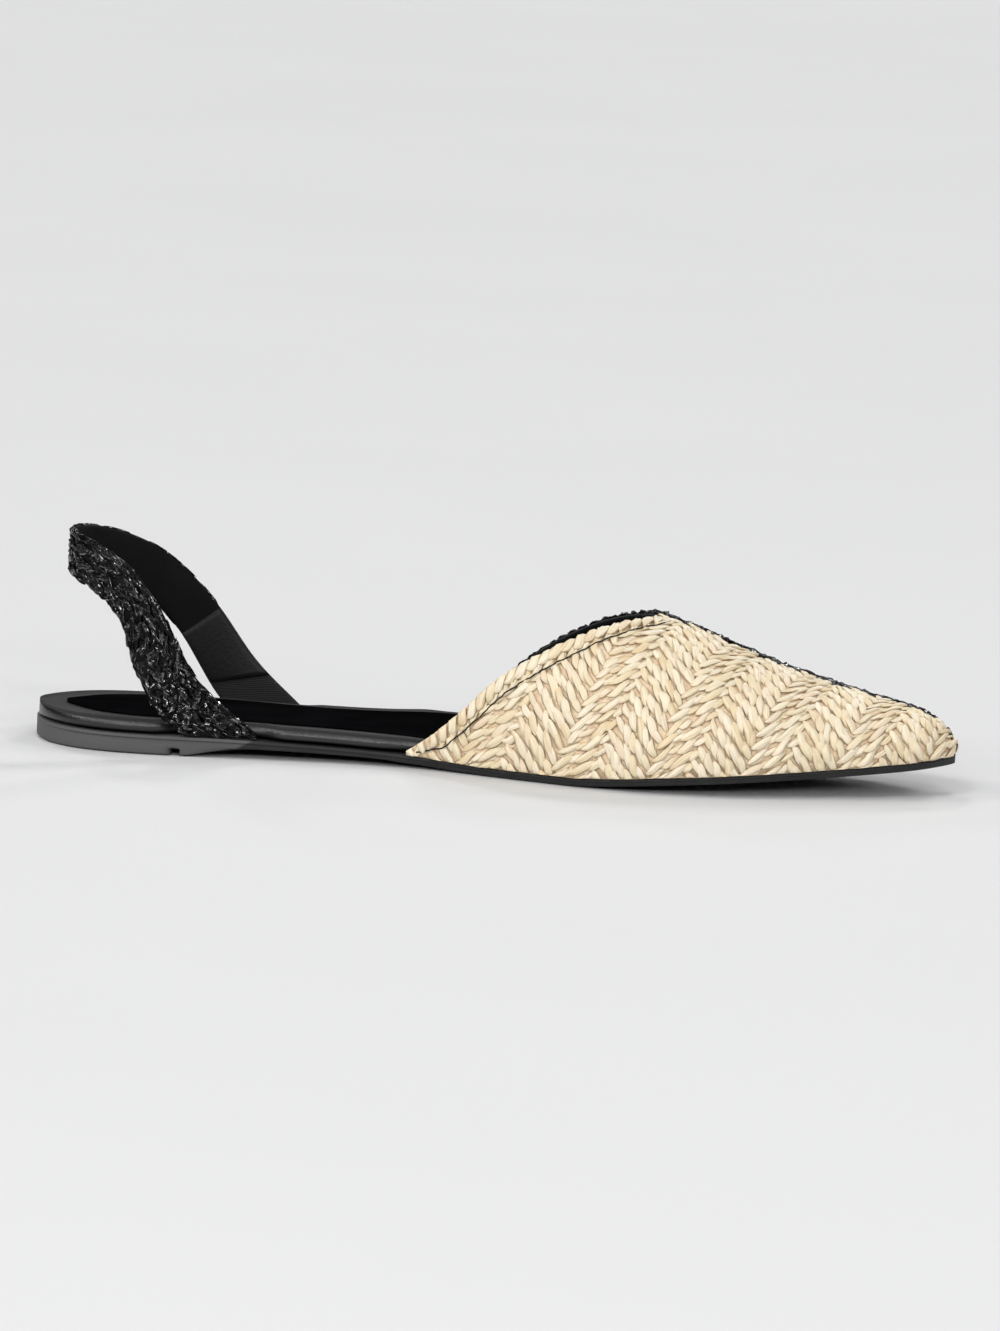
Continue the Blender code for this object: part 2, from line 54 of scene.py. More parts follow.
class Wire:
    """One socket of a material. Sums on it add Math nodes, and node() adds any other kind of node."""

    def __init__(self, tree, socket=None):
        self.tree = tree
        self.socket = socket

    def node(self, kind, settings=None, sockets=None, output=0):
        made = self.tree.nodes.new("ShaderNode" + kind)
        for name, value in (settings or {}).items():
            if name == "stops":
                ramp = made.color_ramp.elements
                while len(ramp) < len(value):
                    ramp.new(0.5)
                for stop, (place_on_ramp, colour) in zip(ramp, value):
                    stop.position = place_on_ramp
                    stop.color = (*colour, 1.0)
            else:
                setattr(made, name, value)
        for name, value in (sockets or {}).items():
            if isinstance(value, Wire):
                self.tree.links.new(value.socket, made.inputs[name])
            else:
                made.inputs[name].default_value = value
        return Wire(self.tree, made.outputs[output])

    def sum(self, operation, first, second):
        return self.node("Math", {"operation": operation}, {0: first, 1: second})

    def __add__(self, other):
        return self.sum("ADD", self, other)

    def __radd__(self, other):
        return self.sum("ADD", other, self)

    def __sub__(self, other):
        return self.sum("SUBTRACT", self, other)

    def __rsub__(self, other):
        return self.sum("SUBTRACT", other, self)

    def __mul__(self, other):
        return self.sum("MULTIPLY", self, other)

    def __rmul__(self, other):
        return self.sum("MULTIPLY", other, self)

    def __pow__(self, other):
        return self.sum("POWER", self, other)

    def __abs__(self):
        return self.sum("ABSOLUTE", self, 0.0)

    def above(self, level, soft):
        """A soft mask of where this value is above a level."""
        settings = {"interpolation_type": "SMOOTHSTEP"}
        sockets = {"Value": self, "From Min": level - soft, "From Max": level + soft}
        return self.node("MapRange", settings, sockets)

    def tint(self, low, high):
        """The colour between two colours that this value stands for."""
        low = low if isinstance(low, Wire) else (*low, 1.0)
        high = high if isinstance(high, Wire) else (*high, 1.0)
        return self.node("Mix", {"data_type": "RGBA"}, {0: self, 6: low, 7: high}, 2)


def new_finish(name, fixed):
    """A material with its shader's plain values set, and a wire to start its nodes from."""
    material = bpy.data.materials.new(name)
    material.use_nodes = True
    shader = material.node_tree.nodes["Principled BSDF"]
    for socket, value in fixed.items():
        shader.inputs[socket].default_value = value
    return material, shader, Wire(material.node_tree)


def feed(wire, shader, socket):
    """Let a varying value into one socket of the shader."""
    wire.tree.links.new(wire.socket, shader.inputs[socket])


def emboss(height, shader, strength, distance):
    """Let a height shade the surface as fine relief, without a change to its form."""
    sockets = {"Strength": strength, "Distance": distance, "Height": height}
    feed(height.node("Bump", None, sockets), shader, "Normal")


def object_noise(wire, scale, detail=3.0, stretch=(1.0, 1.0, 1.0)):
    """Noise fixed to the piece, with scale in waves per metre."""
    coordinates = wire.node("TexCoord", output=3)
    stretched = wire.node("Mapping", None, {"Vector": coordinates, "Scale": stretch})
    return wire.node("TexNoise", None, {"Vector": stretched, "Scale": scale, "Detail": detail})


def facing_up(wire):
    """How far the surface faces up, from -1 to 1."""
    return wire.node("SeparateXYZ", None, {0: wire.node("NewGeometry", output=1)}, 2)


def new_piece(name, mesh):
    """A mesh as an object of the scene."""
    piece = bpy.data.objects.new(name, mesh)
    bpy.context.scene.collection.objects.link(piece)
    return piece


MERGE_DISTANCE = 2e-5
JOIN_BELOW = math.radians(35)
JOIN_SHAPE = math.radians(150)
CREASE = 0.85


def copy_of(node, name, crease_from, subdivisions):
    """A piece with the form of one solid: its loose triangles merged, joined to quads and subdivided.
    Edges sharper than crease_from degrees stay crisp."""
    bm = bmesh.new()
    bm.from_mesh(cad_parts[node].data)
    bmesh.ops.remove_doubles(bm, verts=bm.verts, dist=MERGE_DISTANCE)
    bmesh.ops.join_triangles(bm, faces=bm.faces, angle_face_threshold=JOIN_BELOW,
                             angle_shape_threshold=JOIN_SHAPE)
    crease = bm.edges.layers.float.new("crease_edge")
    for edge in bm.edges:
        edge[crease] = CREASE if edge.calc_face_angle(0.0) > math.radians(crease_from) else 0.0
    for face in bm.faces:
        face.smooth = True
    mesh = bpy.data.meshes.new(name)
    bm.to_mesh(mesh)
    bm.free()
    mesh.materials.clear()
    piece = new_piece(name, mesh)
    rounded = piece.modifiers.new("rounded", "SUBSURF")
    rounded.levels = subdivisions
    rounded.render_levels = subdivisions
    return piece


def take_place(piece, material, node):
    """Dress a piece, let it ride with the shoe and stand for its solid."""
    if material:
        piece.data.materials.append(material)
    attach(piece, "root")
    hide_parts(node)


HEEL_SIDE_END = 0.029
HEEL_SIDE_SLANT = 1.8
TREAD_SLANT = 0.6
TREAD_WAVES = 3100.0

outsole = copy_of("outsole", "outsole_rubber", crease_from=28, subdivisions=2)

rubber, shader, wire = new_finish("matte_rubber", {"Specular IOR Level": 0.3})
dust = object_noise(wire, 120.0, 4.0)
pores = object_noise(wire, 2600.0, 2.0)
coordinates = wire.node("TexCoord", output=3)
along, across, up = (wire.node("SeparateXYZ", None, {0: coordinates}, k) for k in range(3))
underside = 1.0 - facing_up(wire).above(-0.75, 0.1)
heel_side = 1.0 - (along - HEEL_SIDE_SLANT * up).above(HEEL_SIDE_END, 0.0008)
# Painted light: the heel's side, but not its underside, is painted paler grey where light from the left
# falls.
painted_heel_light = heel_side * (1.0 - underside)
moulded = dust.above(0.5, 0.3).tint((0.014, 0.014, 0.015), (0.024, 0.024, 0.025))
feed(painted_heel_light.tint(moulded, (0.085, 0.085, 0.086)), shader, "Base Color")
feed(0.55 + 0.2 * dust, shader, "Roughness")
tread_lines = wire.sum("SINE", (along + TREAD_SLANT * across) * TREAD_WAVES, 0.0)
emboss(pores * 0.25 + underside * tread_lines, shader, 0.35, 0.0003)
take_place(outsole, rubber, "outsole")


# Footbed. A soft board wrapped in black leather, with a rolled rim all round that shows beside the arch.
# The leather is pulled over the rim, so its grain closes into fine cross wrinkles on the roll.

GRAIN_CELLS = 2100.0
WRINKLES = 900.0


def leather(name, colour, roughness, wrinkle, stretch, shine, worn=0.0):
    """Smooth dyed leather: fine pebbled grain, slow colour change and wrinkles that run one way.
    Where it faces up, it is rubbed dull by as much as worn says."""
    material, shader, wire = new_finish(name, {"Specular IOR Level": shine})
    coordinates = wire.node("TexCoord", output=3)
    sockets = {"Vector": coordinates, "Scale": GRAIN_CELLS}
    cells = wire.node("TexVoronoi", {"feature": "SMOOTH_F1"}, sockets)
    slow = object_noise(wire, 60.0, 3.0)
    folds = object_noise(wire, WRINKLES, 2.0, stretch)
    lighter = tuple(1.9 * c for c in colour)
    feed(slow.above(0.52, 0.25).tint(colour, lighter), shader, "Base Color")
    uneven = roughness - 0.04 + 0.08 * slow + 0.04 * cells
    feed(uneven + worn * facing_up(wire).above(0.6, 0.2), shader, "Roughness")
    emboss(cells * 0.3 + folds * wrinkle, shader, 0.3, 0.0004)
    return material


footbed = copy_of("footbed", "footbed_leather", crease_from=70, subdivisions=2)
rim_leather = leather("rim_leather", (0.004, 0.004, 0.0045), roughness=0.31, wrinkle=0.9,
                      stretch=(2.6, 0.5, 0.5), shine=0.6, worn=0.6)
take_place(footbed, rim_leather, "footbed")


# Insole sock. A thin sheet of the same black leather, cut to lie inside the rolled rim and glued down.
# Its cut edge shows as a fine line along the foot.

insole = copy_of("insole", "insole_sock", crease_from=50, subdivisions=1)
sock_leather = leather("sock_leather", (0.0022, 0.0022, 0.0025), roughness=0.62, wrinkle=0.6,
                       stretch=(0.8, 0.8, 0.8), shine=0.0)
take_place(insole, sock_leather, "insole")


# Vamp lining and ground. A leather lining carries the weave. Between the strands its outer face shows as
# straw-coloured ground on the inner side and as black on the outer side; inside the shoe it is black.

LENGTH = 256.0
ORIGIN_ALONG = 24.0
TOE_ROUND = 15.0
SEAM_GAP = 0.3
OVERHANG = 0.5
BULGE = 1.2
PEAK = 172.0
INNER, OUTER = 0, 1
# Along, the half widths of the inner and the outer side, and the middle line's place across.
OUTLINE = (
    (90.0, 22.4, 28.4, 0.0), (105.0, 23.2, 29.8, 0.0), (120.0, 26.6, 32.2, 0.0),
    (140.0, 33.2, 36.0, -0.3), (155.0, 37.4, 38.4, -0.8), (170.0, 39.6, 39.4, -1.4),
    (185.0, 38.8, 37.6, -2.2), (200.0, 35.0, 33.0, -3.0), (215.0, 29.4, 27.2, -3.8),
    (230.0, 23.0, 21.0, -4.5), (242.0, 17.6, 16.2, -5.0), (250.0, 13.8, 12.8, -5.3),
    (256.0, 10.8, 10.2, -5.5),
)
# Along, and the height of the sole's top.
SOLE_TOP = (
    (0.0, 5.9), (7.0, 5.7), (45.5, 5.5), (52.0, 5.5), (62.0, 5.3), (78.0, 4.8), (92.0, 4.3),
    (105.0, 3.8), (118.0, 2.9), (127.0, 2.5), (150.0, 2.5), (160.0, 3.1), (175.0, 4.5),
    (190.0, 5.7), (210.0, 7.2), (232.0, 9.0), (256.0, 11.2),
)
# Along, the ridge's height and place across, and the fullness of the section under it.
RIDGE = (
    (100.0, 66.0, -1.5, 1.95), (120.0, 61.0, -2.0, 1.95), (140.0, 54.5, -2.5, 1.95),
    (156.0, 49.0, -3.0, 1.95), (172.0, 44.2, -3.5, 1.95), (180.0, 42.0, -3.7, 1.95),
    (188.0, 39.2, -4.0, 1.98), (198.0, 35.4, -4.3, 2.02), (211.0, 31.0, -4.7, 2.08),
    (225.0, 27.2, -5.1, 2.16), (240.0, 23.8, -5.4, 2.26), (256.0, 21.0, -5.5, 2.30),
)
# Along, and the height of the throat's edge: the inner side, then the outer side.
THROAT = (
    ((105.0, 5.0), (109.0, 7.9), (113.0, 11.1), (121.0, 18.8), (129.0, 27.0), (135.0, 31.4),
     (142.0, 35.7), (148.0, 38.7), (156.0, 42.0), (165.0, 43.9), (172.0, 44.2)),
    ((113.0, 5.0), (118.0, 9.6), (125.0, 16.8), (129.0, 20.6), (135.0, 25.8), (142.0, 31.0),
     (148.0, 34.8), (156.0, 39.0), (165.0, 42.4), (172.0, 44.2)),
)
WING_TIP = (105.0, 113.0)
WING_TIP_GIRTH = 1.0
FIRST_STATION = 100.0
TOE_START = 240.0
TOE_STATIONS = 41
SIDE_COLUMNS = 48
SECTION_STEPS = 121
PACE_COLUMN = 36
BALL_END = 205.0


def blend(t, span, ends, slopes):
    """The cubic between two ends with their slopes, at share t of the span between them."""
    start = (1 + 2 * t) * (1 - t) ** 2 * ends[0] + t * (1 - t) ** 2 * span * slopes[0]
    end = t * t * (3 - 2 * t) * ends[1] + t * t * (t - 1) * span * slopes[1]
    return start + end


def curve(rows, column):
    """A curve without overshoot through one column of a table, against its first column."""
    table = np.array(rows)
    xs = table[:, 0]
    ys = table[:, column]
    rises = np.diff(ys) / np.diff(xs)
    inner = [2 * a * b / (a + b) if a * b > 0 else 0.0 for a, b in zip(rises, rises[1:])]
    slopes = np.array([rises[0], *inner, rises[-1]])

    def value(x):
        x = np.clip(x, xs[0], xs[-1])
        i = np.clip(np.searchsorted(xs, x, side="right") - 1, 0, len(xs) - 2)
        span = xs[i + 1] - xs[i]
        return blend((x - xs[i]) / span, span, (ys[i], ys[i + 1]), (slopes[i], slopes[i + 1]))

    return value


sole_top = curve(SOLE_TOP, 1)


def place(points):
    """Points along, across and up in millimetres as scene coordinates in metres."""
    return (np.asarray(points) - (ORIGIN_ALONG, 0.0, 0.0)) * 0.001


class VampSurface:
    """The outer face of the vamp as a net: stations along the shoe, shares of the girth from the inner
    seam (0) over the ridge (1) to the outer seam (2)."""

    def __init__(self):
        crowding = np.linspace(1, 0, TOE_STATIONS) ** 2
        toe_stations = LENGTH - (LENGTH - TOE_START) * crowding
        self.stations = np.concatenate((np.arange(FIRST_STATION, TOE_START, 1.0), toe_stations))
        self.stations[-1] = LENGTH - 0.002
        shares = np.linspace(0.0, 1.0, SIDE_COLUMNS + 1)
        self.reach = np.zeros((2, len(self.stations)))
        self.throat = np.zeros((2, len(self.stations)))
        self.net = np.zeros((len(self.stations), 2 * SIDE_COLUMNS + 1, 3))
        half = (curve(OUTLINE, 1), curve(OUTLINE, 2))
        middle = curve(OUTLINE, 3)
        ridge_height, ridge_across, fullness = (curve(RIDGE, column) for column in (1, 2, 3))
        turn = np.linspace(0.0, math.pi / 2, SECTION_STEPS)
        for i, along in enumerate(self.stations):
            toe = min(max((along - LENGTH + TOE_ROUND) / TOE_ROUND, 0.0), 1.0)
            end = math.sqrt(1 - toe ** 2)
            foot_z = sole_top(along) + SEAM_GAP
            ridge_z = foot_z + (ridge_height(along) - foot_z) * end ** 0.9
            ridge_y = ridge_across(along)
            power = 2 / fullness(along)
            for side, sign in ((INNER, -1), (OUTER, 1)):
                foot_y = middle(along) + sign * (half[side](along) + OVERHANG) * end
                bulge = BULGE * end * np.sin(2 * turn) * np.cos(turn)
                ys = ridge_y + (foot_y - ridge_y) * np.cos(turn) ** power + sign * bulge
                zs = foot_z + (ridge_z - foot_z) * np.sin(turn) ** power
                ys[-1] = ridge_y
                girths = np.concatenate(([0.0], np.cumsum(np.hypot(np.diff(ys), np.diff(zs)))))
                self.reach[side, i] = girths[-1]
                if along >= PEAK:
                    self.throat[side, i] = girths[-1]
                elif along >= WING_TIP[side]:
                    height = curve(THROAT[side], 1)(along)
                    self.throat[side, i] = max(np.interp(height, zs, girths), WING_TIP_GIRTH)
                columns = np.arange(SIDE_COLUMNS + 1)
                columns = columns if side == INNER else 2 * SIDE_COLUMNS - columns
                self.net[i, columns, 0] = along
                self.net[i, columns, 1] = np.interp(shares * girths[-1], girths, ys)
                self.net[i, columns, 2] = np.interp(shares * girths[-1], girths, zs)
        run = np.gradient(self.net, axis=0)
        over = np.gradient(self.net, axis=1)
        over[-1] = over[-2]
        run[-1] = run[-2]
        normals = np.cross(run, over)
        self.normals = normals / np.maximum(np.linalg.norm(normals, axis=2, keepdims=True), 1e-12)
        gaps = np.diff(self.stations)
        lengths = np.linalg.norm(np.diff(self.net[:, PACE_COLUMN], axis=0), axis=1) / gaps
        lengths = np.where(self.stations[1:] < BALL_END, 1.0, lengths)
        self.paces = FIRST_STATION + np.concatenate(([0.0], np.cumsum(lengths * gaps)))

    def pace(self, along):
        """Length walked over the surface, which is along itself as far as the ball."""
        return np.interp(along, self.stations, self.paces)

    def along(self, pace):
        return np.interp(pace, self.paces, self.stations)

    def throat_at(self, along, side):
        return np.interp(along, self.stations, self.throat[side])

    def points(self, pace, girth, side, lift):
        """Points of the surface at a walked length and a girth from one side's seam, raised by lift."""
        along = self.along(pace)
        count = len(self.stations)
        i = np.clip(np.interp(along, self.stations, np.arange(count)), 0, count - 1.001)
        own = np.maximum(np.interp(along, self.stations, self.reach[side]), 1e-6)
        far = np.maximum(np.interp(along, self.stations, self.reach[1 - side]), 1e-6)
        share = np.where(girth <= own, girth / own, 1.0 + (girth - own) / far)
        share = np.clip(share, 0.0, 2.0)
        share = share if side == INNER else 2.0 - share
        j = np.clip(share * SIDE_COLUMNS, 0, 2 * SIDE_COLUMNS - 0.001)
        i0 = i.astype(int)
        j0 = j.astype(int)
        a = (i - i0)[..., None]
        b = (j - j0)[..., None]

        def between(net):
            low = net[i0, j0] * (1 - b) + net[i0, j0 + 1] * b
            high = net[i0 + 1, j0] * (1 - b) + net[i0 + 1, j0 + 1] * b
            return low * (1 - a) + high * a

        normals = between(self.normals)
        normals /= np.maximum(np.linalg.norm(normals, axis=-1, keepdims=True), 1e-9)
        return between(self.net) + normals * np.asarray(lift)[..., None]


vamp = VampSurface()

GROUND_SUNK = 0.4
LINING_THICKNESS = 1.2
LINING_ROWS = (96, 22)
SEAM_TUCK = 0.45
TOE_MARGIN = 0.05

bm = bmesh.new()
for side in (INNER, OUTER):
    known = set(bm.verts)
    bmesh.ops.create_grid(bm, x_segments=LINING_ROWS[0], y_segments=LINING_ROWS[1], size=1.0)
    sheet = [vert for vert in bm.verts if vert not in known]
    steps = np.array([vert.co.x * 0.5 + 0.5 for vert in sheet])
    rises = np.array([vert.co.y * 0.5 + 0.5 for vert in sheet])
    tip = vamp.pace(WING_TIP[side])
    paces = tip + (vamp.paces[-1] - TOE_MARGIN - tip) * steps
    girths = rises * vamp.throat_at(vamp.along(paces), side)
    at_seam = rises < 1e-6
    lifts = np.where(at_seam, -GROUND_SUNK - SEAM_TUCK, -GROUND_SUNK)
    spots = vamp.points(paces, girths, side, lifts)
    spots[at_seam, 2] -= SEAM_TUCK
    for vert, spot in zip(sheet, place(spots)):
        vert.co = spot
    for face in {face for vert in sheet for face in vert.link_faces}:
        face.material_index = side
        face.smooth = True
bmesh.ops.remove_doubles(bm, verts=bm.verts, dist=MERGE_DISTANCE)
bmesh.ops.recalc_face_normals(bm, faces=bm.faces)
upward = sum(face.normal.z * face.calc_area() for face in bm.faces)
if upward < 0:
    bmesh.ops.reverse_faces(bm, faces=bm.faces)
mesh = bpy.data.meshes.new("vamp_lining")
bm.to_mesh(mesh)
bm.free()
lining = new_piece("vamp_lining", mesh)

straw_ground, shader, wire = new_finish("straw_ground", {"Roughness": 0.85})
patches = object_noise(wire, 700.0, 3.0)
feed(patches.above(0.5, 0.22).tint((0.64, 0.475, 0.31), (0.80, 0.63, 0.44)), shader, "Base Color")
emboss(patches, shader, 0.6, 0.0005)
black_ground, shader, wire = new_finish("black_ground", {"Base Color": (0.006, 0.006, 0.007, 1.0)})
threads = object_noise(wire, 900.0, 3.0)
feed(0.45 + 0.4 * threads, shader, "Roughness")
emboss(threads, shader, 0.6, 0.0005)
lining_leather = leather("lining_leather", (0.004, 0.004, 0.0045), roughness=0.58, wrinkle=0.5,
                         stretch=(0.8, 0.8, 0.8), shine=0.06)
for material in (straw_ground, black_ground, lining_leather, lining_leather):
    mesh.materials.append(material)
wall = lining.modifiers.new("wall", "SOLIDIFY")
wall.thickness = LINING_THICKNESS * 0.001
wall.offset = -1.0
wall.material_offset = 2
wall.material_offset_rim = 2
take_place(lining, None, "upper")


# Natural raffia. Flat strands of undyed palm leaf, woven in a herringbone: runs of strands climb gently
# to a peak and drop steeply to a foot, row over row on leaning columns. Each end tucks under a neighbour.
# The colour carries painted light: the raised side of each fold is painted paler as a painted highlight,
# and each strand's long edges and tucked ends are painted a darker tan as painted shade.

# Along and girth from the run's foot, turn in degrees, length, width and lift of each strand of a run.
RUNS = (
    (1.7, 0.5, 34.0, 7.4, 2.2, 0.12),
    (5.0, 1.6, 28.0, 5.8, 1.8, -0.2),
    (8.3, 2.7, 34.0, 8.4, 2.4, 0.22),
    (12.0, 3.9, 30.0, 6.0, 2.0, -0.12),
    (3.4, 2.9, 26.0, 6.0, 1.7, -0.5),
    (9.9, 5.1, 26.0, 6.0, 1.7, -0.5),
    (14.0, 3.5, -66.0, 6.6, 2.3, 0.0),
    (15.9, 0.9, -70.0, 7.6, 2.5, 0.14),
    (17.8, -1.7, -72.0, 7.8, 2.5, 0.04),
    (19.7, -4.3, -72.0, 7.8, 2.5, 0.12),
    (21.6, -6.9, -68.0, 6.8, 2.3, 0.0),
)
# How far a strand strays from the pattern: along, girth, turn, shares of length and width, lift.
STRAY = np.array((0.22, 0.18, 4.0, 0.08, 0.09, 0.07))
PERIOD = (22.9, -8.6)
PERIODS = range(-8, 9)
ROW = (1.40, 3.65)
ROWS = range(-30, 40)
NATURAL_FOOT = (174.6, 6.0)
NATURAL_SEED = 11
TOE_CLEAR = 0.6
SEAM_LAP = 2.0
RIDGE_LAP = 0.7
EDGE_BAND = 4.4
EDGE_CLEAR = 0.4
# Start, depth below the edge, strand length, width, pitch and lift of the edge plait's two lines.
PLAIT_LINES = ((0.8, 1.2, 7.4, 2.7, 3.7, 0.4), (2.5, 3.0, 6.4, 2.1, 3.9, 0.05))
# How far a strand of the plait strays: turn, shares of length and width, lift.
PLAIT_STRAY = np.array((4.0, 0.07, 0.08, 0.06))
PLAIT_STEPS = 300
PLAIT_START = 0.3
PLAIT_PAST_PEAK = 1.5
PLAIT_TURN = 23.0
PLAIT_SLOPE = 0.6
PLAIT_FULL_DEPTH_FROM = 9.0
TIP_TURN = 30.0
TIP_LENGTH = 26.0
TIP_SHORTER = 0.4
TIP_NARROWER = 0.2
STRAND_HEIGHT = 0.6
STRAND_DIVE = 0.75
STRAND_BASE = 0.15
STRAND_DEEPEST = -1.1
RIDGE_ROOM = 1.5
GROOVE_DEPTH = 0.6
GROOVE_WIDTH = 0.6
# Rings along a strand, and the corners of a ring: place across, height and place on the leaf.
RINGS = np.array((-1.0, -0.86, -0.56, -0.19, 0.19, 0.56, 0.86, 1.0))
SIDES = np.array((-1.0, -0.66, 0.0, 0.66, 1.0, 0.0))
CROWN = np.array((0.0, 0.85, 1.0, 0.85, 0.0, -0.45))
LEAF_ACROSS = np.array((0.0, 0.25, 0.5, 0.75, 1.0, 0.5))


def strand_corners(strands, rng, crumple, slope=0.25):
    """How far the corners of many strands lie along, beside and above their centres: leaf strips, each
    with its own fold, bend and twist. Strands that climb sway like the turns of a rope, and those that
    drop lie straighter."""
    count = len(strands)
    turns, lengths, breadths = (strands[:, k][:, None, None] for k in (2, 3, 4))
    blunt = np.maximum(1 - np.abs(RINGS) ** 3.0, 0.0) ** 0.62
    pointed = np.maximum(1 - np.abs(RINGS) ** 2.0, 0.0) ** 0.8
    taper = np.maximum(np.where(RINGS < 0, blunt, pointed), 0.08)[None, :, None]
    u = RINGS[None, :, None]
    bend = rng.normal(0.0, 0.3, (count, 1, 1)) * (u * u - 0.35)
    sway = (np.where(turns > 0, 0.55, 0.05) + rng.normal(0.0, 0.3, (count, 1, 1))) * (u - u ** 3)
    widths = taper * SIDES + bend + sway
    crown = np.broadcast_to(CROWN, (count, len(RINGS), len(SIDES))).copy()
    crown[:, :, 1] *= rng.uniform(0.6, 1.1, (count, 1))
    crown[:, :, 2] -= rng.uniform(-0.15, 0.6, (count, 1))
    crown[:, :, 3] *= rng.uniform(0.6, 1.1, (count, 1))
    lean = rng.normal(0.0, 0.16 + 0.5 * crumple, (count, 1, 1))
    twist = rng.normal(0.35, 0.25, (count, 1, 1)) * u
    heights = crown * (0.35 + 0.65 * taper) + (lean + twist) * taper * SIDES * 0.6
    heights = heights + (0.07 + 0.3 * crumple) * rng.normal(0.0, 1.0, heights.shape)
    widths = widths + (0.03 + 0.12 * crumple) * rng.normal(0.0, 1.0, heights.shape)
    dives = np.where(RINGS < 0, 0.45, 1.15) * np.abs(RINGS) ** 3.0 + slope * RINGS
    rad = np.radians(turns)
    x = u * lengths / 2
    y = widths * breadths / 2
    lifts = STRAND_HEIGHT * heights - STRAND_DIVE * dives[None, :, None]
    return x * np.cos(rad) - y * np.sin(rad), x * np.sin(rad) + y * np.cos(rad), lifts


def strand_mesh(name, corners, tones, material):
    """One joined mesh of strands from an array of corners, strand by ring by side."""
    count, rings, sides = corners.shape[:3]
    mesh = bpy.data.meshes.new(name)
    ring = np.arange(sides)
    following = (ring + 1) % sides
    band = np.stack((ring, following, following + sides, ring + sides), axis=1)
    quads = np.concatenate([band + sides * k for k in range(rings - 1)])
    caps = np.array((-ring % sides, ring + sides * (rings - 1)))
    faces = []
    for k in range(count):
        faces += (quads + rings * sides * k).tolist()
        faces += (caps + rings * sides * k).tolist()
    mesh.from_pydata(corners.reshape(-1, 3).tolist(), [], faces)
    mesh.polygons.foreach_set("use_smooth", np.ones(len(faces), dtype=bool))
    tone = mesh.attributes.new("tone", "FLOAT", "POINT")
    tone.data.foreach_set("value", np.repeat(tones, rings * sides).astype(np.float32))
    lengthwise = np.broadcast_to((RINGS[:, None] + 1) / 2, (count, rings, sides))
    across = np.broadcast_to(LEAF_ACROSS, (count, rings, sides))
    spots = np.stack((lengthwise, across), axis=-1).reshape(-1, 2)
    owners = np.zeros(len(mesh.loops), dtype=np.int32)
    mesh.loops.foreach_get("vertex_index", owners)
    mesh.uv_layers.new(name="strand").data.foreach_set("uv", spots[owners].astype(np.float32).ravel())
    bm = bmesh.new()
    bm.from_mesh(mesh)
    bmesh.ops.recalc_face_normals(bm, faces=bm.faces)
    bm.to_mesh(mesh)
    bm.free()
    mesh.materials.append(material)
    return new_piece(name, mesh)


def weave(side, first_foot, rng):
    """Strands of the herringbone over one side: centre, turn, length, width and lift of each."""
    strands = []
    for i in PERIODS:
        for j in ROWS:
            foot_pace = first_foot[0] + i * PERIOD[0] + j * ROW[0]
            foot_girth = first_foot[1] + i * PERIOD[1] + j * ROW[1]
            for along, girth, turn, length, width, lift in RUNS:
                stray = rng.normal(0.0, 1.0, 6) * STRAY
                pace = foot_pace + along + stray[0]
                rise = foot_girth + girth + stray[1]
                here = vamp.along(pace)
                if not WING_TIP[side] < here < LENGTH - TOE_CLEAR or pace > vamp.paces[-1] - TOE_CLEAR:
                    continue
                top = vamp.throat_at(here, side) + (-EDGE_BAND - EDGE_CLEAR if here < PEAK else RIDGE_LAP)
                if not -SEAM_LAP < rise < top:
                    continue
                strands.append((pace, rise, turn + stray[2], length * (1 + stray[3]),
                                width * (1 + stray[4]), lift + stray[5]))
    return np.array(strands)


def edge_plait(side, rng):
    """Strands laid along the throat's edge in two lines, like a loose twist, and wrapped short at the
    wing's tip."""
    alongs = np.linspace(WING_TIP[side] + PLAIT_START, PEAK + PLAIT_PAST_PEAK, PLAIT_STEPS)
    paces = vamp.pace(alongs)
    girths = vamp.throat_at(alongs, side)
    walked = np.concatenate(([0.0], np.cumsum(np.hypot(np.diff(paces), np.diff(girths)))))
    slopes = np.degrees(np.arctan2(np.gradient(girths), np.gradient(paces)))
    strands = []
    for line, (start, below, length, width, pitch, lift) in enumerate(PLAIT_LINES):
        for at in np.arange(start, walked[-1], pitch):
            stray = rng.normal(0.0, 1.0, 4) * PLAIT_STRAY
            pace, girth, slope = (np.interp(at, walked, row) for row in (paces, girths, slopes))
            near_tip = max(0.0, 1 - at / TIP_LENGTH)
            sunk = below * min(1.0, 0.25 + girth / PLAIT_FULL_DEPTH_FROM)
            rad = math.radians(slope)
            strands.append((pace + sunk * math.sin(rad), girth - sunk * math.cos(rad),
                            slope + PLAIT_TURN + TIP_TURN * near_tip * (1 - line) + stray[0],
                            length * (1 - TIP_SHORTER * near_tip) * (1 + stray[1]),
                            width * (1 - TIP_NARROWER * near_tip) * (1 + stray[2]), lift + stray[3]))
    return np.array(strands)


def lay_strands(name, side, strands, hem, rng, crumple, material, slope=0.25):
    """Lay strands on the vamp; hem is how far below the throat's edge they stop."""
    forward, upward, lifts = strand_corners(strands, rng, crumple, slope)
    pace, girth, lift = (strands[:, k][:, None, None] for k in (0, 1, 5))
    paces = np.clip(pace + forward, vamp.pace(WING_TIP[side]), vamp.paces[-1] - TOE_MARGIN)
    alongs = vamp.along(paces)
    edge = vamp.throat_at(alongs, side)
    room = np.where(alongs < PEAK, edge - hem, edge + RIDGE_ROOM)
    girths = np.clip(girth + upward, 0.0, np.maximum(room, 0.3))
    from_thread = edge - EDGE_BAND - girths
    groove = np.where(alongs < PEAK, GROOVE_DEPTH * np.exp(-(from_thread / GROOVE_WIDTH) ** 2), 0.0)
    lifts = np.maximum(lift + STRAND_BASE + lifts - groove, STRAND_DEEPEST)
    corners = place(vamp.points(paces, girths, side, lifts))
    piece = strand_mesh(name, corners, rng.uniform(0.0, 1.0, len(strands)), material)
    take_place(piece, None, "upper")


